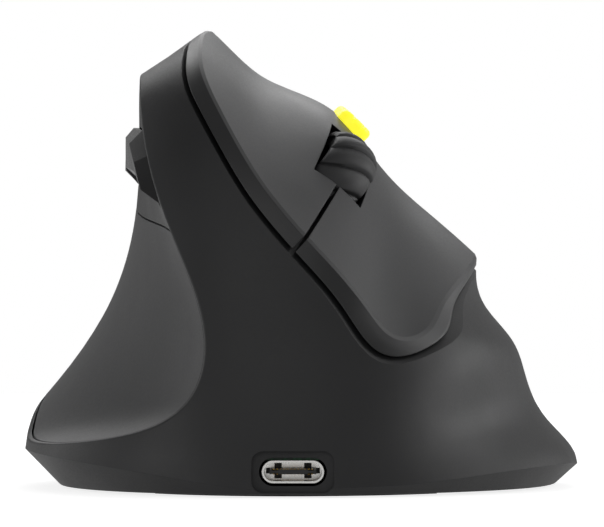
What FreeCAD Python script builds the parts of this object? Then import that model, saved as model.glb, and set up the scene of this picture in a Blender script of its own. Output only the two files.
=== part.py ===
import FreeCAD, Part
import math
import os

# Left-handed vertical mouse, in millimetres. +Z is up and the desk is Z = 0. The nose with the charging
# port faces -Y, the thumb scoop is on -X and the click plates face +X and up. The outer skin is three
# smooth forms: an egg-like block that flares into a skirt under the fingers, a scoop for the thumb and a
# saddle that carries the click plates. Every outer piece is cut from those same forms, so each of them
# follows when a size of theirs changes.

V = FreeCAD.Vector
Turn = FreeCAD.Rotation
X_AXIS, Y_AXIS, Z_AXIS = V(1, 0, 0), V(0, 1, 0), V(0, 0, 1)

doc = FreeCAD.newDocument("vertical_mouse")
sheet = doc.addObject("Spreadsheet::Sheet", "Sizes")
next_row = [1]


def size(alias, value):
    """Writes one driving dimension in the sheet and gives it an alias."""
    cell = "B%d" % next_row[0]
    sheet.set("A%d" % next_row[0], alias)
    sheet.set(cell, str(value))
    sheet.setAlias(cell, alias)
    next_row[0] += 1


def table(stem, names, rows):
    """Writes one level of a form on each row: body1_height, body1_left and so on."""
    for number, row in enumerate(rows, 1):
        for name, value in zip(names, row):
            size("%s%d_%s" % (stem, number, name), value)
    return len(rows)


# Outer block: one egg-shaped level on each row, from the desk to the crown
BLOCK_NAMES = ("height", "left", "right", "front", "back", "middle")
BLOCK_LEVELS = table("body", BLOCK_NAMES, (
    (0, 42.3, 30.0, 54.5, 52.0, -3.0),
    (4, 42.0, 31.0, 54.4, 53.0, -3.0),
    (8, 41.5, 32.0, 54.2, 53.8, -3.0),
    (14, 40.8, 32.2, 53.3, 54.2, -3.0),
    (19, 40.0, 32.7, 52.2, 54.1, -3.5),
    (23, 39.0, 31.1, 51.2, 53.8, -4.0),
    (28, 38.0, 27.2, 49.8, 53.3, -5.0),
    (36, 37.0, 26.6, 47.7, 51.8, -6.0),
    (47, 35.0, 26.0, 43.9, 48.2, -8.0),
    (56, 31.0, 24.5, 38.6, 42.0, -10.0),
    (62, 24.5, 22.0, 32.0, 35.0, -11.0),
    (66, 18.5, 17.0, 25.0, 28.0, -12.0),
    (69, 13.5, 9.0, 17.0, 20.0, -12.0),
    (72, 8.0, 1.0, 6.0, 8.0, -11.0)))

# Skirt that flares out under the ring and little fingers, at the block's lowest levels
SKIRT_NAMES = ("left", "right", "front", "back")
SKIRT_LEVELS = table("skirt", SKIRT_NAMES, (
    (37, 44.5, 53.5, 50.0),
    (35, 41.6, 51.3, 49.0),
    (33, 39.0, 48.2, 48.0),
    (31, 34.6, 45.5, 46.5),
    (28, 31.5, 43.5, 44.4),
    (25, 27.5, 41.6, 42.6),
    (22, 24.0, 39.0, 40.0)))

# Thumb scoop: how far left its front edge and its widest place lie at each height
SCOOP_NAMES = ("height", "edge", "side")
SCOOP_LEVELS = table("scoop", SCOOP_NAMES, (
    (2, 50.0, 53.0),
    (8, 28.5, 44.0),
    (13, 17.8, 39.8),
    (20, 14.7, 34.2),
    (28, 15.2, 29.4),
    (37, 18.2, 26.3),
    (47, 21.6, 25.0),
    (57, 23.4, 24.8),
    (66, 23.7, 23.6),
    (76, 23.0, 21.5)))

# Saddle under the fingers: its crest across the mouse, how far it falls to the front and the back, and how
# much of the lid's full thickness is left there
SADDLE_NAMES = ("across", "crest", "nose_fall", "tail_fall", "lid_share")
SADDLE_LEVELS = table("saddle", SADDLE_NAMES, (
    (-26.0, 77.0, 16.0, 22.0, 0.85),
    (-13.5, 68.7, 16.4, 22.0, 0.9),
    (-5.5, 61.7, 19.0, 24.0, 0.9),
    (4.5, 57.0, 24.5, 26.0, 0.8),
    (12.0, 48.3, 25.0, 27.0, 0.65),
    (19.0, 41.5, 22.4, 27.0, 0.42),
    (25.5, 35.8, 19.4, 27.0, 0.36),
    (34.0, 27.0, 16.0, 27.0, 0.36)))

for alias, value in (
        ("saddle_crest_y", -2.0), ("saddle_nose_run", 46.0), ("saddle_tail_run", 52.0),
        ("skirt_blend", 4.0),
        ("base_left", 36.6), ("base_right", 38.4), ("base_front", 54.2), ("base_back", 50.0),
        ("base_gap", 0.4), ("undercut_left", 0.98), ("undercut_right", 1.12),
        ("undercut_front", 0.8), ("undercut_back", 0.6), ("undercut_height", 75.0),
        ("wall", 2.0), ("deck", 1.5), ("lid_thickness", 2.6), ("lid_gap", 0.75),
        ("grip_thickness", 1.5), ("grip_lip", 0.6), ("grip_floor", 1.5), ("seat_gap", 0.1), ("seam", 0.3),
        ("grip_top", 41.5), ("grip_tilt", 4.0),
        ("plate_thickness", 1.2), ("plate_margin", 4.0), ("foot_thickness", 0.8), ("foot_margin", 2.5),
        ("foot_width", 6.0), ("front_foot_edge", -36.0), ("rear_foot_edge", 30.0),
        ("wheel_x", 1.7), ("wheel_y", -20.07), ("wheel_z", 43.84), ("slope_tilt", 45.0), ("slope_yaw", 10.0),
        ("wheel_diameter", 22.0), ("tyre_width", 8.0), ("tyre_thickness", 2.6), ("tyre_crown", 1.6),
        ("groove_depth", 0.5), ("groove_width", 0.45), ("groove_count", 24), ("groove_slant", 24.0),
        ("hub_width", 7.2), ("axle_diameter", 2.4), ("axle_length", 11.6), ("running_gap", 0.05),
        ("wheel_gap", 0.45), ("slot_width", 9.0), ("slot_front", 10.9), ("slot_back", 6.2), ("split", 0.65),
        ("split_x", -0.2), ("split_slant", 2.7), ("rim_bevel", 0.35), ("edge_round", 0.35),
        ("cover_seam_y", 25.5), ("post_y", -7.0), ("post_x", 9.2), ("post_width", 2.4),
        ("hinge_x", 14.0), ("hinge_y", 24.0), ("upper_hinge_z", 4.2), ("lower_hinge_z", 7.4),
        ("hinge_bead", 1.0), ("hinge_length", 5.0), ("hinge_web", 1.6),
        ("slope_board_z", -10.2), ("slope_board_reach", 12.3), ("slope_board_front", -17.4),
        ("slope_board_back", 22.0), ("slope_board_notch_x", -5.0), ("slope_board_notch_y", 4.0),
        ("switch_length", 12.8), ("switch_width", 5.8), ("switch_height", 6.5), ("plunger_height", 0.7),
        ("plunger_width", 2.0), ("plunger_gap", 0.05), ("switch_y", -4.0),
        ("tact_width", 6.0), ("tact_height", 3.6), ("tact_plunger_radius", 1.7), ("tact_plunger_height", 1.2),
        ("cradle_arm_x", 4.5), ("cradle_arm", 1.3), ("cradle_pivot_y", 14.0), ("cradle_reach", 3.2),
        ("cradle_pin_diameter", 2.0), ("cradle_bar", 2.4),
        ("frame_wall", 1.8), ("frame_left", -11.0), ("frame_right", 19.0), ("frame_front", -36.0),
        ("frame_back", 4.0), ("frame_leg", 7.0), ("frame_tab_x", -15.8), ("frame_tab", 1.0),
        ("frame_tab_top", 53.0),
        ("side_board_front", -30.0), ("side_board_back", 13.0), ("side_board_low", 43.6),
        ("side_board_thickness", 1.0), ("side_switch_z", 48.8), ("front_switch_y", -20.0),
        ("rear_switch_y", 5.0), ("side_tact_width", 4.5), ("side_tact_height", 2.2),
        ("side_plunger_height", 0.8), ("side_plunger_radius", 1.0), ("key_stem", 2.4),
        ("port_x", -1.3), ("port_z", 3.7), ("port_width", 8.94), ("port_height", 3.26), ("port_depth", 7.35),
        ("port_wall", 0.3), ("port_recess_width", 11.9), ("port_recess_height", 6.0),
        ("port_recess_corner", 1.7),
        ("port_face_y", -53.4), ("port_gap", 0.4), ("port_notch", 1.05), ("port_notch_x", 2.15),
        ("board_thickness", 1.2), ("board_z", 5.35), ("board_left", -7.5), ("board_right", 16.0),
        ("board_front", -51.6), ("board_back", 8.0), ("board_corner", 1.5),
        ("cap_x", -0.5), ("cap_width", 5.6), ("cap_length", 10.0), ("cap_corner", 2.2),
        ("cap_round", 0.7), ("cap_y", 18.0), ("cap_top", 13.0), ("cap_skirt", 5.0),
        ("cap_stem", 2.6), ("cap_gap", 0.3),
        ("battery_width", 24.0), ("battery_length", 32.0), ("battery_height", 6.4), ("battery_x", -1.0),
        ("battery_y", 27.0), ("pad_thickness", 0.4), ("battery_corner", 2.5),
        ("sensor_x", 5.0), ("sensor_y", -14.0), ("sensor_width", 9.4), ("sensor_length", 11.0),
        ("sensor_height", 2.2), ("lens_radius", 4.4), ("lens_gap", 0.2),
        ("controller_width", 6.0), ("controller_y", -30.0), ("controller_height", 0.9),
        ("power_x", 4.6), ("power_y", 0.0), ("power_slot", 6.4), ("power_width", 3.2), ("power_knob", 3.0),
        ("power_travel", 2.6), ("power_body", 9.0),
        ("screw_radius", 1.0), ("screw_head_radius", 1.9), ("screw_head", 1.0), ("boss_radius", 2.6),
        ("key_height", 2.1), ("key_root", 2.0), ("key_gap", 0.3),
        ("front_key_left", 14.93), ("front_key_lean_y", 0.079), ("front_key_lean_z", 0.203),
        ("rear_key_left", 24.66), ("rear_key_lean_y", 0.0245), ("rear_key_lean_z", 0.0),
        ("window_gap", 0.7), ("case_screw_right", 24.0), ("case_screw_left", -25.0),
        ("case_screw_front", -24.0), ("case_screw_back", 26.0), ("case_screw_length", 6.0)):
    size(alias, value)
doc.recompute()


# Farther than any part of the mouse, for tools that cut right through it
FAR = 120.0
# Long enough for a post or a neck to reach through the lid before it is trimmed
RISE = 25.0
# How square the plan of the base is
BASE_POWER = 1.9


def s(alias):
    """The value of one driving dimension."""
    return float(sheet.get(alias))


def levels(stem, names, count):
    return [[s("%s%d_%s" % (stem, n, name)) for name in names] for n in range(1, count + 1)]


# Smooth outer forms
def spline(points, closed=False):
    """A cubic through the points, with even parameters so that neighbouring levels loft cleanly."""
    curve = Part.BSplineCurve()
    last = len(points) + (1 if closed else 0)
    curve.interpolate(Points=points, PeriodicFlag=closed, Parameters=[float(i) for i in range(last)])
    return curve.toShape()


def loft(wires, ruled=False):
    return Part.makeLoft(wires, True, ruled, False, 3)


def egg(height, left, right, front, back, middle, front_power=2.4):
    """A rounded plan outline: a superellipse with its own reach on each of its four sides."""
    points = []
    around = 16
    for i in range(around):
        angle = 2 * math.pi * i / around
        c, n = math.cos(angle), math.sin(angle)
        if n > 0:
            power = 2.3
        else:
            power = front_power if c > 0 else 2.2
        reach = (abs(c) ** power + abs(n) ** power) ** (-1.0 / power)
        side = right - middle if c > 0 else left + middle
        end = back if n > 0 else front
        points.append(V(middle + c * reach * side, n * reach * end, height))
    return Part.Wire(spline(points, closed=True))


def reach_at(c, n, left, right, front, back, middle, front_power):
    """How far such an outline reaches from its middle in the direction c, n."""
    if n > 0:
        power = 2.3
    else:
        power = front_power if c > 0 else 2.2
    side = right - middle if c > 0 else left + middle
    end = back if n > 0 else front
    return (abs(c / side) ** power + abs(n / end) ** power) ** (-1.0 / power)


def body_section(block_row, skirt_row):
    """One level of the outer skin: the block and the skirt with a soft hollow where they meet."""
    height, left, right, front, back, middle = block_row
    if skirt_row is None:
        return egg(height, left, right, front, back, middle)
    around, blend = 24, s("skirt_blend")
    points = []
    for i in range(around):
        angle = 2 * math.pi * i / around
        c, n = math.cos(angle) * (left + right), math.sin(angle) * (front + back)
        c, n = c / math.hypot(c, n), n / math.hypot(c, n)
        inner = reach_at(c, n, left, right, front, back, middle, 2.4)
        outer = reach_at(c, n, *skirt_row, middle, 2.2)
        near = max(0.0, 1 - abs(inner - outer) / blend)
        reach = max(inner, outer) + blend / 4 * near ** 2
        points.append(V(middle + c * reach, n * reach, height))
    return Part.Wire(spline(points, closed=True))


def blended(inset):
    """The block and the skirt in one smooth skin."""
    rows = [[h, l - inset, r - inset, f - inset, b - inset, m]
            for h, l, r, f, b, m in levels("body", BLOCK_NAMES, BLOCK_LEVELS)]
    flare = [[reach - inset for reach in row] for row in levels("skirt", SKIRT_NAMES, SKIRT_LEVELS)]
    flare += [None] * (len(rows) - len(flare))
    return loft([body_section(row, low) for row, low in zip(rows, flare)])


def undercut(inset):
    """The cone that bevels the foot of the mouse: it is widest well above the body."""
    low, rise = s("base_gap"), s("undercut_height")
    reaches = [s("base_" + side) - inset for side in ("left", "right", "front", "back")]
    slopes = [s("undercut_" + side) for side in ("left", "right", "front", "back")]
    high = [reach + rise * slope for reach, slope in zip(reaches, slopes)]
    return loft([egg(low, *reaches, -1, BASE_POWER), egg(low + rise, *high, -1, BASE_POWER)], ruled=True)


def body_form(inset=0.0):
    return blended(inset).common(undercut(inset))


def scoop_cutter(depth):
    """The space left of the thumb scoop, moved depth into the body."""
    far = -140.0
    wires = []
    for height, edge, side in levels("scoop", SCOOP_NAMES, SCOOP_LEVELS):
        front, wide = depth - edge, depth - side
        run = wide - front
        points = [V(front + 4, -64, height), V(front, -47, height), V(front + 0.2 * run, -33, height),
                  V(front + 0.64 * run, -15, height), V(front + 0.94 * run, 4, height),
                  V(wide, 22, height), V(wide + 2.5, 40, height), V(wide + 14, 66, height)]
        first, last = points[0], points[-1]
        corners = [last, V(far, last.y, height), V(far, first.y, height), first]
        wires.append(Part.Wire([spline(points), Part.makePolygon(corners)]))
    return loft(wires)


def saddle_cutter(depth, floor=0.0):
    """The space above the finger saddle, sunk by the lid's share of depth and by floor everywhere."""
    lean = math.sqrt(0.5)
    outside, above = 80.0, 120.0
    wires = []
    for y in (-66, -50, -38, -24, -10, 4, 20, 38, 56, 72):
        ahead = y - s("saddle_crest_y")
        points = []
        for across, crest, nose_fall, tail_fall, share in levels("saddle", SADDLE_NAMES, SADDLE_LEVELS):
            if ahead < 0:
                fall = nose_fall * (-ahead / s("saddle_nose_run")) ** 1.7
            else:
                fall = tail_fall * (ahead / s("saddle_tail_run")) ** 2
            sink = lean * (share * depth + floor)
            points.append(V(across - sink, y, crest - fall - sink))
        first, last = points[0], points[-1]
        corners = [last, V(outside, y, last.z), V(outside, y, above), V(first.x, y, above), first]
        wires.append(Part.Wire([spline(points), Part.makePolygon(corners)]))
    return loft(wires)


# Placement helpers
def at(x, y, z, turn=Turn()):
    return FreeCAD.Placement(V(x, y, z), turn)


SLOPE = at(s("wheel_x"), s("wheel_y"), s("wheel_z"),
           Turn(Y_AXIS, s("slope_tilt")) * Turn(Z_AXIS, s("slope_yaw")))


def on_slope(x=0, y=0, z=0, turn=Turn()):
    """A place counted from the wheel's centre: x across the fingers, y to the palm, z out of the slope."""
    return SLOPE.multiply(at(x, y, z, turn))


def bar(x0, x1, y0, y1, z0, z1, place=FreeCAD.Placement()):
    shape = Part.makeBox(x1 - x0, y1 - y0, z1 - z0, V(x0, y0, z0))
    shape.Placement = place
    return shape


def rod(radius, length, place=FreeCAD.Placement()):
    shape = Part.makeCylinder(radius, length, V(0, 0, -length / 2))
    shape.Placement = place
    return shape


ACROSS = Turn(Y_AXIS, 90)
TO_FRONT = Turn(X_AXIS, 90)
parts = []


def feature(label, shape):
    """Keeps a sculpted shape as a sub-part."""
    item = doc.addObject("Part::Feature", label)
    item.Shape = shape
    parts.append(item)
    return item


# Outer pieces
def lid():
    """The whole lid, a layer of the saddle, with its rim bevelled."""
    layer = body_form().cut(scoop_cutter(0)).cut(saddle_cutter(0)).common(saddle_cutter(s("lid_thickness")))
    faces = sorted(layer.Faces, key=lambda face: face.Area)
    top = max(faces[-2:], key=lambda face: face.CenterOfMass.x + face.CenterOfMass.z)
    return layer.makeChamfer(s("rim_bevel"), top.Edges)


def wheel_slot(gap=0.0, low=-30, high=30):
    half = s("slot_width") / 2 + gap
    return bar(-half, half, -s("slot_front") - gap, s("slot_back") + gap, low, high, SLOPE)


def cap_prism(gap, low, high):
    """The outline of the resolution button with its round corners, gap larger all round."""
    x, half, reach = s("cap_x"), s("cap_width") / 2 + gap, s("cap_length") / 2 + gap
    prism = bar(x - half, x + half, s("cap_y") - reach, s("cap_y") + reach, low, high)
    upright = [edge for edge in prism.Edges if abs(edge.tangentAt(edge.FirstParameter).z) > 0.9]
    return prism.makeFillet(s("cap_corner") + gap, upright)


def cap_outline(gap, low, high):
    prism = cap_prism(gap, low, high)
    prism.Placement = SLOPE
    return prism


def click_plates():
    """The lid in three: two click plates split along the fingers, and the palm cover behind them."""
    wheel_room = rod(s("wheel_diameter") / 2 + s("wheel_gap"), s("slot_width"), on_slope(0, 0, 0, ACROSS))
    whole = lid().cut(wheel_slot()).cut(wheel_room).cut(cap_outline(s("cap_gap"), -5, 30))
    half, seam_y = s("split") / 2, s("cover_seam_y")
    rear = whole.common(bar(-FAR, FAR, seam_y + s("seam") / 2, FAR, -FAR, FAR, SLOPE))
    front = whole.common(bar(-FAR, FAR, -FAR, seam_y - s("seam") / 2, -FAR, FAR, SLOPE))
    split = on_slope(s("split_x"), -s("slot_front"), 0, Turn(Z_AXIS, -s("split_slant")))
    upper = front.cut(bar(-half, FAR, -FAR, FAR, -FAR, FAR, split))
    lower = front.cut(bar(-FAR, half, -FAR, FAR, -FAR, FAR, split))
    return upper, lower, rear


def side_key_outline(points, gap):
    """A key's outline on the thumb side, as a prism along X that is gap larger all round."""
    wire = Part.makePolygon([V(0, y, z) for y, z in points + points[:1]])
    face = Part.Face(wire)
    if gap:
        face = Part.Face(wire.makeOffset2D(gap, 0))
    prism = face.extrude(V(60, 0, 0))
    prism.translate(V(-65, 0, 0))
    return prism


# Each thumb key as y and z: its foot in the scoop, and the crest where its slanting sides meet its face
FRONT_KEY = [(-39.0, 42.0), (-34.0, 49.5), (-27.0, 53.2), (-7.2, 54.0), (-7.2, 45.4), (-30.0, 44.2)]
FRONT_CREST = [(-36.4, 44.0), (-32.6, 48.6), (-25.8, 51.4), (-7.2, 52.0), (-7.2, 47.8), (-29.5, 46.6)]
REAR_KEY = [(-6.4, 54.0), (12.0, 53.0), (17.0, 49.8), (14.0, 45.8), (-6.4, 45.4)]
REAR_CREST = [(-6.4, 52.0), (10.8, 51.2), (14.4, 49.6), (12.4, 47.8), (-6.4, 47.8)]


def key_taper(foot, crest, plane):
    """The slanting sides of a thumb key, from well inside the shell to beyond its face."""
    at_origin, along_y, along_z = plane
    height = s("key_height")

    def wire(rise):
        share = rise / height
        points = []
        for (y0, z0), (y1, z1) in zip(foot, crest):
            y, z = y0 + share * (y1 - y0), z0 + share * (z1 - z0)
            points.append(V(-(at_origin + along_y * y + along_z * z) - rise, y, z))
        return Part.makePolygon(points + points[:1])

    return loft([wire(-2 * s("key_root")), wire(1.5 * height)], ruled=True)


def plane_of(key):
    """The plane nearest to the scoop under a key: how far left it lies, and how that grows with y and z."""
    return s(key + "_left"), s(key + "_lean_y"), s(key + "_lean_z")


def side_key(foot, crest, plane, switch_y):
    """One thumb key: a tapered slice along the scoop, standing out of it, with a stem to its switch."""
    slab = side_key_outline(foot, 0).common(key_taper(foot, crest, plane))
    slab = slab.common(scoop_cutter(s("key_root"))).cut(scoop_cutter(-s("key_height")))
    tip = side_plunger_face()
    stem, z = s("key_stem") / 2, s("side_switch_z")
    rod_x = bar(-30, tip, switch_y - stem, switch_y + stem, z - stem, z + stem)
    return slab.fuse(rod_x.cut(scoop_cutter(s("key_root") / 2)))


def side_plunger_face():
    """Where a thumb key's stem ends, just off its switch."""
    return (s("frame_tab_x") - s("side_board_thickness") - s("side_tact_height") - s("side_plunger_height")
            - s("plunger_gap"))


def grip_limit(drop=0.0):
    tilt = Turn(X_AXIS, s("grip_tilt"))
    return bar(-FAR, FAR, -FAR, FAR, 0, FAR, at(0, 0, s("grip_top") - drop, tilt))


def thumb_grip():
    lip = s("grip_lip") + s("seam")
    layer = body_form(lip).common(scoop_cutter(s("grip_thickness"))).cut(scoop_cutter(0))
    return layer.cut(grip_limit(s("seam")))


def base_prism(margin, low, high):
    """A flat plate that follows the mouse's footprint."""
    reaches = [s("base_" + side) - margin for side in ("left", "right", "front", "back")]
    face = Part.Face(egg(low, *reaches, -1, BASE_POWER))
    return face.extrude(V(0, 0, high - low))


def pill(width, height, y0, y1, x, z):
    """A slot with round ends, laid along Y."""
    radius = height / 2
    reach = width / 2 - radius
    shape = bar(x - reach, x + reach, y0, y1, z - radius, z + radius)
    for end in (x - reach, x + reach):
        shape = shape.fuse(rod(radius, y1 - y0, at(end, (y0 + y1) / 2, z, TO_FRONT)))
    return shape.removeSplitter()


def switch_window(side):
    """The opening in the deck over one click switch."""
    half, reach = s("switch_width") / 2 + s("window_gap"), s("switch_length") / 2 + s("window_gap")
    x, y = side * s("post_x"), s("switch_y")
    return bar(x - half, x + half, y - reach, y + reach, -12, 30, SLOPE)


def cradle_front():
    """Where the cradle's front bar and the middle switch lie, ahead of the wheel."""
    return -s("wheel_diameter") / 2 - s("cradle_reach")


def cradle_window():
    """The opening in the deck over the wheel and its cradle."""
    half = s("cradle_arm_x") + s("cradle_arm") + s("window_gap")
    front = cradle_front() - s("cradle_bar") / 2 - s("window_gap")
    back = s("wheel_diameter") / 2 + s("window_gap")
    return bar(-half, half, front, back, -12, 30, SLOPE)


HINGES = [(-1, s("upper_hinge_z")), (1, s("lower_hinge_z"))]
CASE_SCREWS = [(s(x), s(y)) for x in ("case_screw_left", "case_screw_right")
               for y in ("case_screw_front", "case_screw_back")]


def hinge_seat(side, z):
    """The groove in the deck that one click plate rocks in, open at the top."""
    x, y = side * s("hinge_x"), s("hinge_y")
    radius, half = s("hinge_bead") + s("running_gap"), s("hinge_length") / 2 + s("seam")
    groove = rod(radius, 2 * half, on_slope(x, y, z, ACROSS))
    return groove.fuse(bar(x - half, x + half, y - radius, y + radius, z, z + RISE, SLOPE))


def case_boss(x, y, low, depth):
    """A post that hangs from the inside of the shell and takes one screw through the bottom plate."""
    post = rod(s("boss_radius"), FAR, at(x, y, low + FAR / 2)).common(body_form(s("wall") / 2))
    post = post.cut(scoop_cutter(depth)).cut(saddle_cutter(s("lid_thickness"), s("lid_gap") + s("deck") / 2))
    post = min(post.Solids, key=lambda solid: solid.BoundBox.ZMin)
    return post.cut(rod(s("screw_radius") - 0.15, 2 * s("case_screw_length"), at(x, y, low)))


def softened(skin):
    """Rounds the rim of the thumb scoop and the foot of the shell."""
    large = sorted(skin.Faces, key=lambda face: face.Area)[-4:]
    scoop = min(large, key=lambda face: face.CenterOfMass.x)
    skin = skin.makeFillet(s("edge_round"), scoop.Edges)
    foot = [edge for edge in skin.Edges if edge.BoundBox.ZMax < s("base_gap") + 0.01]
    return skin.makeFillet(s("edge_round"), foot)


def main_shell():
    skin = body_form().cut(scoop_cutter(0)).cut(saddle_cutter(s("lid_thickness"), s("lid_gap")))
    skin = softened(skin)
    pocket = body_form(s("grip_lip")).common(scoop_cutter(s("grip_thickness") + s("seat_gap")))
    skin = skin.cut(pocket.cut(grip_limit()))
    inner = s("grip_thickness") + s("seat_gap") + s("grip_floor")
    hollow = body_form(s("wall")).cut(scoop_cutter(inner))
    hollow = hollow.cut(saddle_cutter(s("lid_thickness"), s("lid_gap") + s("deck")))
    plate_top = s("base_gap") + s("plate_thickness")
    hollow = hollow.cut(bar(-FAR, FAR, -FAR, FAR, -5, plate_top))
    skin = skin.cut(hollow).cut(base_prism(s("plate_margin"), 0, plate_top + 0.01))
    for x, y in CASE_SCREWS:
        skin = skin.fuse(case_boss(x, y, plate_top + s("seat_gap"), inner - s("grip_floor") / 2))
    for side, z in HINGES:
        skin = skin.cut(hinge_seat(side, z))
    face_y = s("port_face_y")
    half, rise = s("port_recess_width") / 2, s("port_recess_height") / 2
    recess = bar(-half, half, -FAR, face_y, -rise, rise)
    along = [edge for edge in recess.Edges if abs(edge.tangentAt(edge.FirstParameter).y) > 0.9]
    recess = recess.makeFillet(s("port_recess_corner"), along)
    recess.translate(V(s("port_x"), 0, s("port_z")))
    room = 2 * s("port_gap")
    mouth = pill(s("port_width") + room, s("port_height") + room, -FAR, -44, s("port_x"), s("port_z"))
    skin = skin.cut(recess).cut(mouth)
    skin = skin.cut(cradle_window()).cut(cap_outline(s("cap_gap"), -5, 40))
    skin = skin.cut(switch_window(-1)).cut(switch_window(1))
    for outline in (FRONT_KEY, REAR_KEY):
        window = side_key_outline(outline, s("key_gap"))
        skin = skin.cut(window.common(bar(-60, -8, -60, 60, 30, 70)))
    return skin


def click_button(plate, side, hinge_z):
    """A click plate with the post that presses its switch and the bead that it rocks on."""
    x, y, half = side * s("post_x"), s("post_y"), s("post_width") / 2
    low = (s("slope_board_z") + s("board_thickness") + s("switch_height") + s("plunger_height")
           + s("plunger_gap"))
    post = bar(x - half, x + half, y - half, y + half, low, low + RISE, SLOPE)
    x, y, half, web = side * s("hinge_x"), s("hinge_y"), s("hinge_length") / 2, s("hinge_web") / 2
    bead = rod(s("hinge_bead"), s("hinge_length"), on_slope(x, y, hinge_z, ACROSS))
    neck = bar(x - half, x + half, y - web, y + web, hinge_z, hinge_z + RISE, SLOPE)
    under = saddle_cutter(s("lid_thickness") / 2)
    return plate.fuse(post.cut(under)).fuse(bead.fuse(neck).cut(under))


upper_plate, lower_plate, cover_plate = click_plates()
feature("main_shell", main_shell())
feature("thumb_grip", thumb_grip())
feature("upper_button", click_button(upper_plate, *HINGES[0]))
feature("lower_button", click_button(lower_plate, *HINGES[1]))
feature("palm_cover", cover_plate)
feature("front_side_button", side_key(FRONT_KEY, FRONT_CREST, plane_of("front_key"), s("front_switch_y")))
feature("rear_side_button", side_key(REAR_KEY, REAR_CREST, plane_of("rear_key"), s("rear_switch_y")))


# Inner pieces, made of sketches, primitives and booleans
def polygon(sketch, points):
    for a, b in zip(points, points[1:] + points[:1]):
        sketch.addGeometry(Part.LineSegment(V(a[0], a[1], 0), V(b[0], b[1], 0)))


def rectangle(sketch, x0, x1, y0, y1, corner=0.0):
    """A rectangle, with round corners where corner is given."""
    if not corner:
        polygon(sketch, [(x0, y0), (x1, y0), (x1, y1), (x0, y1)])
        return
    r = corner
    for a, b in (((x0 + r, y0), (x1 - r, y0)), ((x1, y0 + r), (x1, y1 - r)),
                 ((x1 - r, y1), (x0 + r, y1)), ((x0, y1 - r), (x0, y0 + r))):
        sketch.addGeometry(Part.LineSegment(V(a[0], a[1], 0), V(b[0], b[1], 0)))
    quarter = math.pi / 2
    for n, (x, y) in enumerate(((x1 - r, y1 - r), (x0 + r, y1 - r), (x0 + r, y0 + r), (x1 - r, y0 + r))):
        circle = Part.Circle(V(x, y, 0), Z_AXIS, r)
        sketch.addGeometry(Part.ArcOfCircle(circle, n * quarter, (n + 1) * quarter))


def ring(sketch, x, y, radius):
    sketch.addGeometry(Part.Circle(V(x, y, 0), Z_AXIS, radius))


def pad(label, draw, length, place=FreeCAD.Placement(), plane="XY_Plane"):
    """A body with one padded sketch. draw fills the sketch and length is a formula on the sheet."""
    body = doc.addObject("PartDesign::Body", label)
    sketch = body.newObject("Sketcher::SketchObject", label + "_sketch")
    origin = [item for item in body.Origin.OriginFeatures if item.Role == plane][0]
    sketch.AttachmentSupport = [(origin, "")]
    sketch.MapMode = "FlatFace"
    draw(sketch)
    feature_pad = body.newObject("PartDesign::Pad", label + "_pad")
    feature_pad.Profile = sketch
    feature_pad.setExpression("Length", length)
    body.Placement = place
    return body


def primitive(kind, label, place, **formulas):
    """A block or cylinder whose sizes are formulas on the sheet."""
    item = doc.addObject(kind, label)
    for name, formula in formulas.items():
        item.setExpression(name, formula)
    item.Placement = place
    return item


def joined(kind, label, first, others):
    """A cut or a fusion of document objects."""
    if len(others) > 1:
        tool = doc.addObject("Part::MultiFuse", label + "_tools")
        tool.Shapes = others
    else:
        tool = others[0]
    item = doc.addObject(kind, label)
    item.Base = first
    item.Tool = tool
    return item


def keep(item):
    parts.append(item)
    return item


def base_parts():
    gap, thick = s("base_gap"), s("plate_thickness")
    top = gap + thick
    plate = base_prism(s("plate_margin") + s("seat_gap"), gap, top)
    lens_hole = rod(s("lens_radius") + s("lens_gap"), 10, at(s("sensor_x"), s("sensor_y"), 0))
    slot_y = s("power_slot") / 2
    slot_x = s("power_width") / 2
    slot = bar(-slot_x, slot_x, -slot_y, slot_y, -5, 5, at(s("power_x"), s("power_y"), 0))
    plate = plate.cut(lens_hole).cut(slot)
    for x, y in BOSSES:
        boss = rod(s("boss_radius"), s("board_z") - top, at(x, y, (s("board_z") + top) / 2))
        plate = plate.fuse(boss)
    for x, y in BOSSES:
        plate = plate.cut(rod(s("screw_radius") - 0.15, 8, at(x, y, 6.2)))
    wide, narrow = s("screw_head_radius") + s("seat_gap"), s("screw_radius") + s("seat_gap")
    for x, y in CASE_SCREWS:
        plate = plate.cut(Part.makeCone(wide, narrow, s("screw_head"), V(x, y, gap)))
        plate = plate.cut(rod(narrow, 2 * thick, at(x, y, top)))
    feature("bottom_plate", plate)
    ring_shape = base_prism(s("foot_margin") + s("plate_margin"), 0, gap)
    inner_margin = s("foot_margin") + s("plate_margin") + s("foot_width")
    ring_shape = ring_shape.cut(base_prism(inner_margin, -1, gap + 1))
    feature("front_foot", ring_shape.common(bar(-90, 90, -90, s("front_foot_edge"), -1, 2)))
    feature("rear_foot", ring_shape.common(bar(-90, 90, s("rear_foot_edge"), 90, -1, 2)))


BOSSES = [(s("board_left") + 2.8, 5.2), (s("board_right") - 2.8, 5.2),
          (s("board_left") + 2.8, -41.0), (s("board_right") - 2.8, -41.0)]


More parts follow.
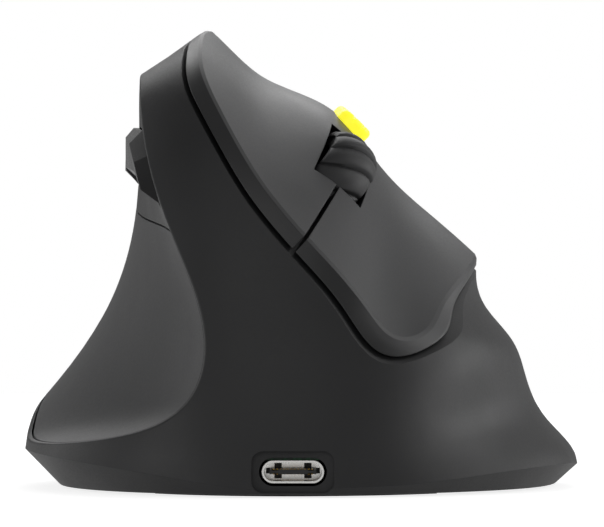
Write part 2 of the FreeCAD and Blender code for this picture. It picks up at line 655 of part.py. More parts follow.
def case_screws():
    """Four flat-headed screws with a cross recess, from below through the bottom plate into the shell."""
    low = s("base_gap") + s("seat_gap")
    cross, slot, deep = 2.4, 0.5, 0.6
    for n, (x, y) in enumerate(CASE_SCREWS, 1):
        name = "case_screw_%d" % n
        head = primitive("Part::Cone", name + "_head", at(x, y, low), Radius1="Sizes.screw_head_radius",
                         Radius2="Sizes.screw_radius", Height="Sizes.screw_head")
        shank = primitive("Part::Cylinder", name + "_shank", at(x, y, low),
                          Radius="Sizes.screw_radius - 0.15", Height="Sizes.case_screw_length")
        blank = joined("Part::Fuse", name + "_blank", head, [shank])
        slots = [primitive("Part::Box", name + "_slot_a", at(x - cross / 2, y - slot / 2, low - deep / 2),
                           Length="%s" % cross, Width="%s" % slot, Height="%s" % (1.5 * deep)),
                 primitive("Part::Box", name + "_slot_b", at(x - slot / 2, y - cross / 2, low - deep / 2),
                           Length="%s" % slot, Width="%s" % cross, Height="%s" % (1.5 * deep))]
        keep(joined("Part::Cut", name, blank, slots))


def main_board_parts():
    low, thick = s("board_z"), s("board_thickness")
    top = low + thick

    def outline(sketch):
        rectangle(sketch, s("board_left"), s("board_right"), s("board_front") + 8, s("board_back"),
                  s("board_corner"))
        for x, y in BOSSES:
            ring(sketch, x, y, s("screw_radius") + 0.15)

    board = pad("main_board_blank", outline, "Sizes.board_thickness", at(0, 0, low))
    tongue = primitive("Part::Box", "port_tab", at(s("port_x") - 6, s("board_front"), low),
                       Length="12", Width="9", Height="Sizes.board_thickness")
    keep(joined("Part::Fuse", "main_board", board, [tongue]))
    for n, (x, y) in enumerate(BOSSES, 1):
        head = primitive("Part::Cylinder", "screw_head_%d" % n, at(x, y, top),
                         Radius="Sizes.screw_head_radius", Height="Sizes.screw_head")
        shank = primitive("Part::Cylinder", "screw_shank_%d" % n, at(x, y, top - 3.8),
                          Radius="Sizes.screw_radius - 0.15", Height="3.8")
        keep(joined("Part::Fuse", "board_screw_%d" % n, head, [shank]))
    width, length = s("sensor_width"), s("sensor_length")
    keep(primitive("Part::Box", "sensor_chip", at(s("sensor_x") - width / 2, s("sensor_y") - length / 2, top),
                   Length="Sizes.sensor_width", Width="Sizes.sensor_length", Height="Sizes.sensor_height"))
    lens_low = s("base_gap") + 0.3
    keep(primitive("Part::Cylinder", "sensor_lens", at(s("sensor_x"), s("sensor_y"), lens_low),
                   Radius="Sizes.lens_radius", Height="Sizes.board_z - Sizes.base_gap - 0.3"))
    half = s("controller_width") / 2
    keep(primitive("Part::Box", "controller_chip", at(s("sensor_x") - half, s("controller_y") - half, top),
                   Length="Sizes.controller_width", Width="Sizes.controller_width",
                   Height="Sizes.controller_height"))


def port_parts():
    """The charging receptacle: a drawn steel shell, and the moulded tongue that reaches into it."""
    x, z, y0 = s("port_x"), s("port_z"), s("port_face_y") + 0.1
    width, height, depth, wall = s("port_width"), s("port_height"), s("port_depth"), s("port_wall")
    back, thick, gap = y0 + depth - 1.0, 0.7, 0.05
    shell = pill(width, height, y0, y0 + depth, x, z)
    shell = shell.cut(pill(width - 2 * wall, height - 2 * wall, y0 - 1, back, x, z))
    slot_half, slot_rise = width / 2 - 2 * wall, thick / 2 + gap
    shell = shell.cut(bar(x - slot_half, x + slot_half, back - 1, FAR, z - slot_rise, z + slot_rise))
    half = s("port_notch") / 2
    for side in (-1, 1):
        centre = x + side * s("port_notch_x")
        shell = shell.cut(bar(centre - half, centre + half, back - 1, FAR, z - 1.1, z + 1.1))
    feature("usb_c_shell", shell)
    bar_half = 3.34
    tongue = bar(x - bar_half, x + bar_half, y0 + 0.6, y0 + depth + 0.5, z - thick / 2, z + thick / 2)
    for side in (-1, 1):
        for row in (-1, 1):
            notch = bar(-0.45, 0.45, -1, 1.5, -0.2, 0.2, at(x + side * 2.6, y0 + 0.6, z + row * thick / 2))
            tongue = tongue.cut(notch)
    foot = bar(x - 3.8, x + 3.8, y0 + depth + gap, y0 + depth + 1.0, z - 1.2, z + 1.2)
    feature("usb_c_tongue", tongue.fuse(foot))


def battery_parts():
    x, y = s("battery_x"), s("battery_y")
    width, length = s("battery_width"), s("battery_length")
    low = s("base_gap") + s("plate_thickness")

    def cell(sketch):
        rectangle(sketch, -width / 2, width / 2, -s("battery_height") / 2, s("battery_height") / 2,
                  s("battery_corner"))

    keep(primitive("Part::Box", "battery_pad", at(x - width / 2 + 2, y - length / 2 + 2, low),
                   Length="Sizes.battery_width - 4", Width="Sizes.battery_length - 4",
                   Height="Sizes.pad_thickness"))
    middle = low + s("pad_thickness") + s("battery_height") / 2
    keep(pad("battery", cell, "Sizes.battery_length", at(x, y + length / 2, middle, TO_FRONT)))


def power_switch_parts():
    x, y, low = s("power_x"), s("power_y"), s("base_gap")
    half, body = s("power_knob") / 2, s("power_body") / 2
    knob_y = y - s("power_slot") / 2 + half + 0.2
    inner_z = low + s("plate_thickness") + 0.9
    keep(primitive("Part::Box", "power_switch_body", at(x - body * 0.6, y - body, inner_z),
                   Length="Sizes.power_body * 0.6", Width="Sizes.power_body",
                   Height="Sizes.board_z - Sizes.base_gap - Sizes.plate_thickness - 0.9"))
    keep(primitive("Part::Box", "power_switch_knob", at(x - half + 0.1, knob_y - half, low + 0.2),
                   Length="Sizes.power_knob - 0.2", Width="Sizes.power_knob",
                   Height="Sizes.plate_thickness + 0.65"))


def frame_parts():
    tilt = s("wheel_x") + s("wheel_z")
    root2 = math.sqrt(2)
    high = tilt + s("slope_board_z") * root2
    low = high - 1.6 * root2
    left, right, wall, tab = s("frame_left"), s("frame_right"), s("frame_wall"), s("frame_tab_x")
    foot = s("base_gap") + s("plate_thickness")
    tab_in = tab + s("frame_tab")
    profile = [(left, foot), (left + wall, foot), (left + wall, low - left - wall),
               (right - wall, low - right + wall), (right - wall, foot), (right, foot), (right, high - right),
               (tab_in, high - tab_in), (tab_in, s("frame_tab_top")), (tab, s("frame_tab_top")),
               (tab, low - tab), (left, low - left)]
    length = s("frame_back") - s("frame_front")
    blank = pad("frame_blank", lambda sketch: polygon(sketch, profile),
                "Sizes.frame_back - Sizes.frame_front", at(0, s("frame_back"), 0, TO_FRONT))
    leg = s("frame_leg")
    tools = []
    for n, x in enumerate((left - 1, right - wall - 1), 1):
        height = low - x - 12 - foot if n == 1 else 5.5
        tools.append(primitive("Part::Box", "frame_window_%d" % n, at(x, s("frame_front") + leg, foot - 0.01),
                               Length="Sizes.frame_wall + 2",
                               Width="Sizes.frame_back - Sizes.frame_front - 2 * Sizes.frame_leg",
                               Height="%s" % height))
    half, reach = s("tyre_width") / 2 + 2.2, s("wheel_diameter") / 2 + 2.0
    tools.append(primitive("Part::Box", "frame_wheel_window", on_slope(-half, -reach, -16),
                           Length="%s" % (2 * half), Width="%s" % (2 * reach), Height="9"))
    keep(joined("Part::Cut", "inner_frame", blank, tools))


def slope_board_parts():
    reach, front, back = s("slope_board_reach"), s("slope_board_front"), s("slope_board_back")
    low = s("slope_board_z")
    top = low + s("board_thickness")
    half, room = s("tyre_width") / 2 + 1.2, s("wheel_diameter") / 2 + 0.8

    def outline(sketch):
        notch_x, notch_y = s("slope_board_notch_x"), s("slope_board_notch_y")
        polygon(sketch, [(-reach, front), (reach, front), (reach, back), (notch_x, back),
                         (notch_x, notch_y + 9), (-reach, notch_y)])
        rectangle(sketch, -half, half, -room, room, 1.0)

    keep(pad("button_board", outline, "Sizes.board_thickness", on_slope(0, 0, low)))
    wide, long, tall = s("switch_width"), s("switch_length"), s("switch_height")
    for side, name in ((-1, "upper"), (1, "lower")):
        x = side * s("post_x")
        body = primitive("Part::Box", name + "_switch_case",
                         on_slope(x - wide / 2, s("switch_y") - long / 2, top),
                         Length="Sizes.switch_width", Width="Sizes.switch_length",
                         Height="Sizes.switch_height")
        edge, front = x - s("plunger_width") / 2, s("post_y") - s("plunger_width") / 2
        well = primitive("Part::Box", name + "_switch_well",
                         on_slope(edge - 0.1, front - 0.1, top + tall - 2.0),
                         Length="Sizes.plunger_width + 0.2", Width="Sizes.plunger_width + 0.2", Height="3")
        keep(joined("Part::Cut", name + "_switch", body, [well]))
        keep(primitive("Part::Box", name + "_plunger", on_slope(edge, front, top + tall - 1.2),
                       Length="Sizes.plunger_width", Width="Sizes.plunger_width",
                       Height="Sizes.plunger_height + 1.2"))


def tact_switch(label, place, width, height, radius, rise, well):
    """A square push switch and its round plunger, which sits in a well in the body."""
    half = s(width) / 2
    corner = place.multiply(at(-half, -half, 0))
    body = primitive("Part::Box", label + "_case", corner, Length="Sizes." + width, Width="Sizes." + width,
                     Height="Sizes." + height)
    hole = primitive("Part::Cylinder", label + "_well", place.multiply(at(0, 0, s(height) - well)),
                     Radius="Sizes.%s + 0.1" % radius, Height="%s" % (well + 1))
    keep(joined("Part::Cut", label + "_switch", body, [hole]))
    keep(primitive("Part::Cylinder", label + "_plunger", place.multiply(at(0, 0, s(height) - well + 0.8)),
                   Radius="Sizes." + radius, Height="Sizes.%s + %s" % (rise, well - 0.8)))


def small_switches():
    top = s("slope_board_z") + s("board_thickness")
    tact_switch("middle", on_slope(0, cradle_front(), top), "tact_width", "tact_height",
                "tact_plunger_radius", "tact_plunger_height", 1.8)
    tact_switch("dpi", on_slope(0, s("cap_y"), top), "tact_width", "tact_height",
                "tact_plunger_radius", "tact_plunger_height", 1.8)
    face_x = s("frame_tab_x") - s("side_board_thickness")
    for name in ("front_switch", "rear_switch"):
        place = at(face_x, s(name + "_y"), s("side_switch_z"), Turn(Y_AXIS, -90))
        tact_switch(name.replace("_switch", "_side"), place, "side_tact_width", "side_tact_height",
                    "side_plunger_radius", "side_plunger_height", 1.5)
    keep(primitive("Part::Box", "side_board", at(face_x, s("side_board_front"), s("side_board_low")),
                   Length="Sizes.side_board_thickness",
                   Width="Sizes.side_board_back - Sizes.side_board_front",
                   Height="Sizes.frame_tab_top - Sizes.side_board_low"))


def dpi_cap():
    high, low = s("cap_top"), s("cap_top") - s("cap_skirt")
    block = cap_prism(0, low, high)
    rim = [edge for edge in block.Edges if edge.BoundBox.ZMin > high - 0.01]
    block = block.makeFillet(s("cap_round"), rim)
    foot = (s("slope_board_z") + s("board_thickness") + s("tact_height") + s("tact_plunger_height")
            + s("plunger_gap"))
    stem = s("cap_stem") / 2
    cap = block.fuse(bar(-stem, stem, s("cap_y") - stem, s("cap_y") + stem, foot, low + 1))
    cap.Placement = SLOPE
    feature("dpi_button", cap)


def wheel_parts():
    radius, half = s("wheel_diameter") / 2, s("tyre_width") / 2
    inner, crown = radius - s("tyre_thickness"), s("tyre_crown")
    bow = Part.Arc(V(-half, 0, radius - crown), V(0, 0, radius), V(half, 0, radius - crown)).toShape()
    rest = Part.makePolygon([V(half, 0, radius - crown), V(half, 0, inner), V(-half, 0, inner),
                             V(-half, 0, radius - crown)])
    tyre = Part.Face(Part.Wire([bow, rest])).revolve(V(), X_AXIS, 360)
    depth, width = s("groove_depth"), s("groove_width")
    count = int(s("groove_count"))
    grooves = []
    for n in range(count):
        groove = bar(-half - 2, half + 2, -width / 2, width / 2, radius - crown - depth, radius + 1,
                     at(0, 0, 0, Turn(X_AXIS, 360.0 * n / count) * Turn(Z_AXIS, s("groove_slant"))))
        grooves.append(groove)
    bottom = Part.Face(Part.Wire([
        Part.Arc(V(-half - 0.01, 0, radius - crown - depth), V(0, 0, radius - depth),
                 V(half + 0.01, 0, radius - crown - depth)).toShape(),
        Part.makePolygon([V(half + 0.01, 0, radius - crown - depth), V(half + 0.01, 0, inner),
                          V(-half - 0.01, 0, inner), V(-half - 0.01, 0, radius - crown - depth)])]))
    core = bottom.revolve(V(), X_AXIS, 360)
    tread = tyre.cut(Part.makeCompound(grooves).cut(core))
    tread.Placement = SLOPE
    feature("wheel_tyre", tread)
    hub_half, axle = s("hub_width") / 2, s("axle_diameter") / 2
    hub = rod(inner, 2 * hub_half, at(0, 0, 0, ACROSS))
    hub = hub.cut(rod(inner - 1.6, hub_half, at(hub_half, 0, 0, ACROSS)))
    hub = hub.cut(rod(inner - 1.6, hub_half, at(-hub_half, 0, 0, ACROSS)))
    hub = hub.fuse(rod(3.0, 2 * hub_half, at(0, 0, 0, ACROSS))).cut(rod(axle, 20, at(0, 0, 0, ACROSS)))
    for n in range(8):
        place = at(0, 0, 0, Turn(X_AXIS, 45.0 * n))
        hub = hub.cut(bar(-8, 8, -0.9, 0.9, 3.9, inner - 2.2, place))
    hub.Placement = SLOPE
    feature("wheel_hub", hub)
    feature("wheel_axle", rod(axle, s("axle_length"), on_slope(0, 0, 0, ACROSS)))


def cradle():
    """The sprung yoke that holds the wheel's axle and tips down onto the middle switch."""
    arm_x, arm = s("cradle_arm_x"), s("cradle_arm")
    pivot, front, thick = s("cradle_pivot_y"), cradle_front(), s("cradle_bar")
    top = (s("slope_board_z") + s("board_thickness") + s("tact_height") + s("tact_plunger_height")
           + s("plunger_gap"))
    wide = arm_x + arm
    shape = bar(-wide, wide, front - thick / 2, front + thick / 2, top, top + 1.8)
    shape = shape.fuse(bar(-wide, wide, pivot - 1.4, pivot + 1.4, -1.4, 1.4))
    for side in (-1, 1):
        x0, x1 = sorted((side * arm_x, side * wide))
        side_wire = Part.makePolygon([V(x0, front - thick / 2, top), V(x0, front - thick / 2, top + 1.8),
                                      V(x0, -3, 2.4), V(x0, 3, 2.4), V(x0, pivot + 1.4, 1.4),
                                      V(x0, pivot + 1.4, -1.4), V(x0, 3, -2.4), V(x0, -3, -2.4),
                                      V(x0, front - thick / 2, top)])
        shape = shape.fuse(Part.Face(side_wire).extrude(V(x1 - x0, 0, 0)))
    shape = shape.cut(rod(s("axle_diameter") / 2 + s("running_gap"), 20, at(0, 0, 0, ACROSS)))
    pin = rod(s("cradle_pin_diameter") / 2, 2 * (wide + 2.2), at(0, pivot, 0, ACROSS))
    shape = shape.fuse(pin).removeSplitter()
    shape.Placement = SLOPE
    feature("wheel_cradle", shape)
    for side, name in ((-1, "upper"), (1, "lower")):
        x0, x1 = sorted((side * (wide + 0.4), side * (wide + 2.2)))
        low = s("slope_board_z") + s("board_thickness")
        bracket = bar(x0, x1, pivot - 2.4, pivot + 2.4, low, 2.4)
        bore = s("cradle_pin_diameter") / 2 + s("running_gap")
        bracket = bracket.cut(rod(bore, 30, at(0, pivot, 0, ACROSS)))
        bracket.Placement = SLOPE
        feature(name + "_pivot_bracket", bracket)


base_parts()
case_screws()
main_board_parts()
port_parts()
battery_parts()
power_switch_parts()
frame_parts()
slope_board_parts()
small_switches()
dpi_cap()
wheel_parts()
cradle()
doc.recompute()

os.makedirs("parts", exist_ok=True)
for item in parts:
    if "Invalid" in item.State or "Error" in item.State:
        raise RuntimeError("failed: " + item.Label)
    if item.Shape.isNull() or not item.Shape.isValid():
        raise RuntimeError("bad shape: " + item.Label)
    item.Shape.exportStep("parts/%s.step" % item.Label)
print("%d sub-parts written" % len(parts))
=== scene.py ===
# %% [markdown]
# # A left-handed vertical mouse
# The exact solids of the mouse are already here, one Blender object for each part, in metres and in
# their real places. This lesson dresses them: it gives each part the surface that the real one has,
# adds the small forms that are easier to make in Blender than in CAD, and lights the whole on a pale
# desk. Blender counts in metres, so a size in millimetres is multiplied by MM.

# %% Load the parts
import bpy
import math
from mathutils import Matrix, Vector


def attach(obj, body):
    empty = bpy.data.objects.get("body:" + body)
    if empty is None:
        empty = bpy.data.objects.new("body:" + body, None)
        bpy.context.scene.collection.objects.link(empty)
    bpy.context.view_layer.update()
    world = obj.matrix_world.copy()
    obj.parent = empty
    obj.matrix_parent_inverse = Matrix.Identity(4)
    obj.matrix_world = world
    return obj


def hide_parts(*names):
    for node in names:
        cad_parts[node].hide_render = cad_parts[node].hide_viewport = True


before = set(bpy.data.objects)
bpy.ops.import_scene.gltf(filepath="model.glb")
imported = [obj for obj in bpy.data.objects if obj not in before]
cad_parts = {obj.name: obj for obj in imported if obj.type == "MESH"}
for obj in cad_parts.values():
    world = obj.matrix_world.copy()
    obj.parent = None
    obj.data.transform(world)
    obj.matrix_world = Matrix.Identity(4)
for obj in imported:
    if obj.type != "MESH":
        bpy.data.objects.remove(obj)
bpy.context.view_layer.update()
MM = 0.001
print("parts:", len(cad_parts))

# %% [markdown]
# ## Colours and nodes
# Colours are chosen after the real object and written as hex values, the way a paint chart
# does. Blender's shaders work in linear light, so one function turns each of them. A second one adds
# a shader node with its settings and its links, which keeps every material below short enough to
# read. A third starts a material with its plain values.


# %% Helpers for colours and nodes
def linear(hex_colour):
    """The linear colour, with its alpha, of an sRGB hex value."""
    values = [int(hex_colour[i:i + 2], 16) / 255 for i in (1, 3, 5)]
    return tuple(v / 12.92 if v <= 0.04045 else ((v + 0.055) / 1.055) ** 2.4 for v in values) + (1.0,)


def add_node(owner, kind, links=None, values=None, **settings):
    """Adds a node. Capitalised settings and values are its inputs, the others its own properties."""
    node = owner.node_tree.nodes.new("ShaderNode" + kind)
    for name, value in settings.items():
        if name[0].isupper():
            node.inputs[name.replace("_", " ")].default_value = value
        else:
            setattr(node, name, value)
    for name, value in (values or {}).items():
        node.inputs[name].default_value = value
    for name, source in (links or {}).items():
        owner.node_tree.links.new(source, node.inputs[name])
    return node


def new_material(name, colour, roughness, ior=1.5, metallic=0.0):
    """A material with its constants on the shader's own sockets, and that shader."""
    material = bpy.data.materials.new(name)
    material.use_nodes = True
    shader = material.node_tree.nodes["Principled BSDF"]
    shader.inputs["Base Color"].default_value = linear(colour)
    shader.inputs["Roughness"].default_value = roughness
    shader.inputs["IOR"].default_value = ior
    shader.inputs["Metallic"].default_value = metallic
    return material, shader


def dress(material, *names):
    """Gives a material to CAD nodes and says so."""
    for name in names:
        item = bpy.data.objects[name]
        item.data.materials.clear()
        item.data.materials.append(material)
    print(material.name, "on", ", ".join(names))


# %% [markdown]
# ## A moulded surface
# Nearly every part here comes out of a steel mould. The mould's wall is spark-eroded or polished, and
# the plastic copies it: fine grains, slightly uneven gloss, and a tiny radius on every edge, because
# no cutter leaves a mould perfectly sharp. One function makes all three. The grain is noise whose
# scale is worked out from a size in millimetres. Real grains are mostly under 0.1 mm, too fine to
# show here, so they are drawn 0.2 to 0.5 mm wide. The radius is the Bevel node, which rounds the
# shading and no geometry. A slow second noise stands for the polish that fingers leave. Noise lies
# mostly round its middle value, so only that part of its range is used.

# %% The moulded finish
PATCH_RANGE, PATCH_GLOSS = (0.35, 0.65), 0.03
GRAIN_RANGE, GRAIN_GLOSS = (0.3, 0.7), 0.04


def moulded(name, colours, roughness, ior, grain_mm, depth_mm, edge_mm=0.15, patch_mm=14.0):
    """Grain, patches of other gloss and softened edges. colours are the two tones of the patches."""
    material, shader = new_material(name, colours[0], roughness, ior)
    place = add_node(material, "TexCoord").outputs["Object"]
    grains = add_node(material, "TexNoise", {"Vector": place}, Scale=1 / (grain_mm * MM),
                      Detail=3.0, Roughness=0.6)
    patches = add_node(material, "TexNoise", {"Vector": place}, Scale=1 / (patch_mm * MM),
                       Detail=2.0, Roughness=0.5)
    tone = add_node(material, "ValToRGB", {"Fac": patches.outputs["Fac"]})
    for stop, position, colour in zip(tone.color_ramp.elements, PATCH_RANGE, colours):
        stop.position, stop.color = position, linear(colour)
    polish = add_node(material, "MapRange", {"Value": patches.outputs["Fac"]},
                      From_Min=PATCH_RANGE[0], From_Max=PATCH_RANGE[1],
                      To_Min=-PATCH_GLOSS, To_Max=PATCH_GLOSS)
    sparkle = add_node(material, "MapRange", {"Value": grains.outputs["Fac"]},
                       From_Min=GRAIN_RANGE[0], From_Max=GRAIN_RANGE[1],
                       To_Min=roughness - GRAIN_GLOSS, To_Max=roughness + GRAIN_GLOSS)
    gloss = add_node(material, "Math", {0: sparkle.outputs[0], 1: polish.outputs[0]}, operation="ADD")
    edge = add_node(material, "Bevel", samples=4, Radius=edge_mm * MM)
    bump = add_node(material, "Bump",
                    {"Height": grains.outputs["Fac"], "Normal": edge.outputs["Normal"]},
                    Strength=0.6, Distance=depth_mm * MM)
    links = material.node_tree.links
    links.new(tone.outputs["Color"], shader.inputs["Base Color"])
    links.new(gloss.outputs[0], shader.inputs["Roughness"])
    links.new(bump.outputs["Normal"], shader.inputs["Normal"])
    return material


# %% [markdown]
# ## Black moulded ABS
# The body and its base plate are ABS, moulded in a spark-eroded tool that leaves a very fine, even
# grain. Such grain scatters the reflection of the room, so the face looks soft and dark, and lighter
# at its rims. Nothing is painted over it, so the grain alone carries the look.

# %% The body and its base plate
shell_abs = moulded("moulded_black_abs", ("#212122", "#242425"), roughness=0.5, ior=1.46,
                    grain_mm=0.35, depth_mm=0.01)
dress(shell_abs, "main_shell", "bottom_plate")

# %% [markdown]
# ## Satin painted ABS
# The two click plates and the palm cover are the same plastic under a satin grey-black soft paint, a
# shade lighter than the body. Paint fills the grain, so its bumps are half as deep. On the plates'
# side walls the tool is polished and the paint thin, so they are shinier. The walls are also painted
# darker, as painted shade where they turn away from the light. The shader tells a wall from the top
# by its normal: how far it leans away from the slope's own direction. The palm cover lies in the same
# slope, so it has the lit tone too, with painted shade on its rims.

# %% The click plates and the palm cover
SLOPE_LEAN = math.radians(45)
SLOPE_OUT = (math.sin(SLOPE_LEAN), 0.0, math.cos(SLOPE_LEAN))
# Painted shade: the walls keep only a share of their colour. Their lower roughness is the real
# polish.
WALL_LEAN, TOP_LEAN = 0.5, 0.7
WALL_PAINTED_SHADE, WALL_GLOSS = 0.35, 0.88
plate_paint = moulded("satin_painted_abs", ("#3b3b3c", "#404041"), roughness=0.43, ior=1.5,
                      grain_mm=0.3, depth_mm=0.005, edge_mm=0.2)
shader = plate_paint.node_tree.nodes["Principled BSDF"]
normal = add_node(plate_paint, "TexCoord").outputs["Normal"]
lean = add_node(plate_paint, "VectorMath", {0: normal}, {1: SLOPE_OUT}, operation="DOT_PRODUCT")
# Painted shade: the colour darkens as a face leans away from the slope.
painted_wall_shade = add_node(plate_paint, "MapRange", {"Value": lean.outputs["Value"]},
                     From_Min=WALL_LEAN, From_Max=TOP_LEAN, To_Min=WALL_PAINTED_SHADE, To_Max=1.0)
wall_gloss = add_node(plate_paint, "MapRange", {"Value": lean.outputs["Value"]},
                      From_Min=WALL_LEAN, From_Max=TOP_LEAN, To_Min=WALL_GLOSS, To_Max=1.0)
tone = shader.inputs["Base Color"].links[0].from_socket
gloss = shader.inputs["Roughness"].links[0].from_socket
# The plates' colour, darkened on the walls as painted shade.
wall_shaded_colour = add_node(plate_paint, "VectorMath", {0: tone, "Scale": painted_wall_shade.outputs[0]},
                 operation="SCALE")
glossed = add_node(plate_paint, "Math", {0: gloss, 1: wall_gloss.outputs[0]}, operation="MULTIPLY")
plate_paint.node_tree.links.new(wall_shaded_colour.outputs[0], shader.inputs["Base Color"])
plate_paint.node_tree.links.new(glossed.outputs[0], shader.inputs["Roughness"])
dress(plate_paint, "upper_button", "lower_button", "palm_cover")

# %% [markdown]
# ## Moulded soft rubber
# The thumb rests on a thin sheet of soft rubber. Its surface is duller than the plastic, and lighter
# where light grazes it, which the shader's sheen gives at low strength.

# %% The thumb grip
grip_rubber = moulded("moulded_soft_rubber", ("#363637", "#3b3b3c"), roughness=0.6, ior=1.5,
                      grain_mm=0.4, depth_mm=0.012, edge_mm=0.2)
shader = grip_rubber.node_tree.nodes["Principled BSDF"]
shader.inputs["Sheen Weight"].default_value = 0.05
shader.inputs["Sheen Roughness"].default_value = 0.5
dress(grip_rubber, "thumb_grip")

# %% [markdown]
# ## Polished ABS
# The two thumb keys are moulded against a polished tool, so they mirror the room in narrow streaks.
# Polishing leaves no grain, only flat waves about 2 mm wide, and the rounded edge is what draws the
# bright lines.

# %% The thumb keys
key_abs = moulded("polished_black_abs", ("#1a1a1b", "#1c1c1d"), roughness=0.2, ior=1.5,
                  grain_mm=2.0, depth_mm=0.001, edge_mm=0.2)
dress(key_abs, "front_side_button", "rear_side_button")

# %% [markdown]
# ## Fluorescent ABS, with a painted glow
# The resolution button is dyed with a fluorescent yellow, which turns blue light into more yellow
# light than it receives. A plain colour can't be brighter than white, so a little emission stands in
# for the dye: a painted glow, which shines whether light falls on the button or not. The dye needs
# light to work, so the part of the button below the plates has the same plastic without the glow,
# painted darker as painted shade.

# %% The resolution button's plastic, with a painted glow and in painted shade
yellow_finish = {"roughness": 0.38, "ior": 1.5, "grain_mm": 0.5, "depth_mm": 0.002, "edge_mm": 0.2}
# Painted shade: the copy for the part below the plates is darker and has no glow.
shaded_abs = moulded("yellow_abs_in_shade", ("#d8d020", "#e0d828"), **yellow_finish)
painted_glow_neon_abs = moulded("fluorescent_yellow_abs_painted_glow", ("#fff83a", "#fffc48"), **yellow_finish)
# Painted glow: the emission shines whether light falls on the button or not.
shader = painted_glow_neon_abs.node_tree.nodes["Principled BSDF"]
shader.inputs["Emission Color"].default_value = linear("#fff52c")
shader.inputs["Emission Strength"].default_value = 0.72
dress(painted_glow_neon_abs, "dpi_button")

# %% [markdown]
# ## The wheel
# The tread is a rubber ring over a harder plastic hub. Rubber is dull with a slightly powdery
# surface, and the hub, its cradle and the inside frame are plain moulded plastic with a smoother,
# darker look.

# %% The tread, the hub and the inside frame
tread_rubber = moulded("wheel_tread_rubber", ("#2a2a2b", "#2f2f30"), roughness=0.55, ior=1.5,
                       grain_mm=0.3, depth_mm=0.006, edge_mm=0.2, patch_mm=6.0)
dress(tread_rubber, "wheel_tyre")
frame_abs = moulded("inside_frame_abs", ("#1b1b1c", "#1f1f20"), roughness=0.4, ior=1.5,
                    grain_mm=0.5, depth_mm=0.003)
dress(frame_abs, "wheel_hub", "wheel_cradle", "inner_frame", "upper_pivot_bracket",
      "lower_pivot_bracket", "power_switch_knob")

# %% [markdown]
# ## Metals
# The port's shell is drawn steel under bright nickel: almost white, with the faint lengthwise lines
# that drawing leaves. The screws and the wheel's axle are steel with a thin zinc plating, which is
# greyer and has small crystals. Both come from one function, since only the pattern's stretch
# differs.

# %% The plated finish
LINE_GLOSS, LINE_DEPTH, PLATED_EDGE = 0.05, 0.001, 0.08


def plated(name, colour, roughness, line_mm, stretch):
    """Plated metal: noise drawn out along y by stretch, as roughness and as fine relief."""
    material, shader = new_material(name, colour, roughness, metallic=1.0)
    place = add_node(material, "TexCoord").outputs["Object"]
    drawn = add_node(material, "Mapping", {"Vector": place}, Scale=(1.0, 1 / stretch, 1.0))
    lines = add_node(material, "TexNoise", {"Vector": drawn.outputs["Vector"]},
                     Scale=1 / (line_mm * MM), Detail=3.0)
    gloss = add_node(material, "MapRange", {"Value": lines.outputs["Fac"]},
                     To_Min=roughness - LINE_GLOSS, To_Max=roughness + LINE_GLOSS)
    edge = add_node(material, "Bevel", samples=4, Radius=PLATED_EDGE * MM)
    bump = add_node(material, "Bump",
                    {"Height": lines.outputs["Fac"], "Normal": edge.outputs["Normal"]},
                    Strength=0.3, Distance=LINE_DEPTH * MM)
    material.node_tree.links.new(gloss.outputs[0], shader.inputs["Roughness"])
    material.node_tree.links.new(bump.outputs["Normal"], shader.inputs["Normal"])
    return material


# %% The port's shell, the screws and the axle
port_nickel = plated("nickel_plated_steel", "#f8f7f4", roughness=0.24, line_mm=0.5, stretch=6.0)
dress(port_nickel, "usb_c_shell")
screw_zinc = plated("zinc_plated_steel", "#b9bbbd", roughness=0.34, line_mm=0.5, stretch=1.0)
dress(screw_zinc, "wheel_axle",
      *["%s_screw_%d" % (kind, n) for kind in ("board", "case") for n in (1, 2, 3, 4)])

# %% [markdown]
# ## Circuit boards
# A board is glass and epoxy under a green solder mask. Copper tracks show through the mask as lighter
# green lines that run straight and turn square. A cell pattern measured in city blocks gives such
# lines without drawing each one. The distance from a cell's middle is folded into equal rings, and
# the start of each ring is a track.

# %% The boards
MASK_GREEN, TRACK_GREEN = "#0e4a2a", "#1a6b3c"
CELL_SIZE, RING_WIDTH, TRACK_RANGE = 2.4, 0.32, (0.1, 0.13)
board_mask, shader = new_material("green_solder_mask", MASK_GREEN, roughness=0.32)
place = add_node(board_mask, "TexCoord").outputs["Object"]
cells = add_node(board_mask, "TexVoronoi", {"Vector": place}, Scale=1 / (CELL_SIZE * MM),
                 distance="MANHATTAN")
rings = add_node(board_mask, "Math", {0: cells.outputs["Distance"]}, {1: RING_WIDTH},
                 operation="PINGPONG")
track = add_node(board_mask, "ValToRGB", {"Fac": rings.outputs[0]})
greens = (TRACK_GREEN, MASK_GREEN)
for stop, position, green in zip(track.color_ramp.elements, TRACK_RANGE, greens):
    stop.position, stop.color = position, linear(green)
relief = add_node(board_mask, "Bump", {"Height": rings.outputs[0]}, Strength=0.5, Distance=0.03 * MM)
board_mask.node_tree.links.new(track.outputs["Color"], shader.inputs["Base Color"])
board_mask.node_tree.links.new(relief.outputs["Normal"], shader.inputs["Normal"])
dress(board_mask, "main_board", "button_board", "side_board")

# %% [markdown]
# ## Chips, switches and their plungers
# Chip bodies are epoxy filled with ground glass, dull and slightly speckled. Switch cases and the
# port's tongue are glass-filled nylon, a little glossier. The plungers are white acetal, a waxy
# plastic that lets light in a little way.

